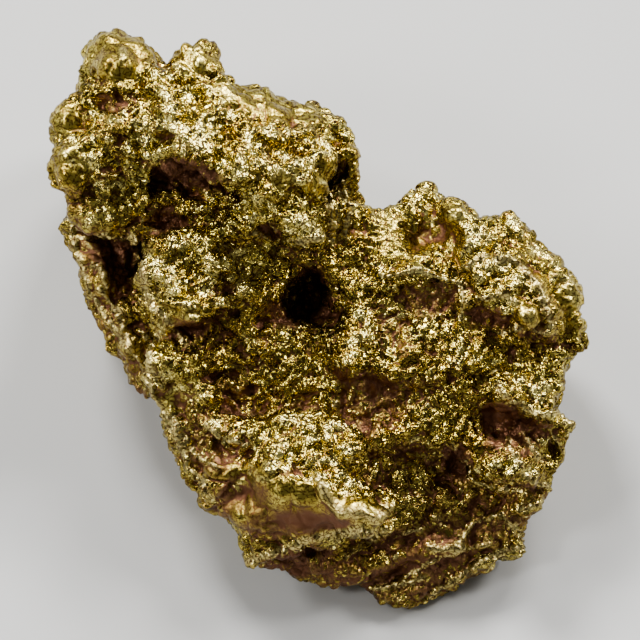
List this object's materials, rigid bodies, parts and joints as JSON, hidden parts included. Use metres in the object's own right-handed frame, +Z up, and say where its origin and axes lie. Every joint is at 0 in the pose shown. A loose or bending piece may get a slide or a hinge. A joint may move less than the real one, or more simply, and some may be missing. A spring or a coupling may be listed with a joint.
{
  "type": "gold nugget",
  "caption": "Natural gold nugget: one irregular lump with a raised crest and knobs, a notched side, a deep pit and small worn flats underneath.",
  "frame": {"origin": "on the rest plane, under the middle of the nugget's bounding box", "axes": "+Z up from the rest plane, along the nugget's shortest extent; -Y towards the front, where the surface slopes down to the ledges; +X towards the rounded right lobe"},
  "size_m": [0.0216, 0.0218, 0.0131],
  "materials": {
    "gold": "natural rough gold, bright on raised grains, with dark brown staining in the hollows"
  },
  "bodies": {
    "root": {"nugget": "gold"}
  },
  "joints": []
}
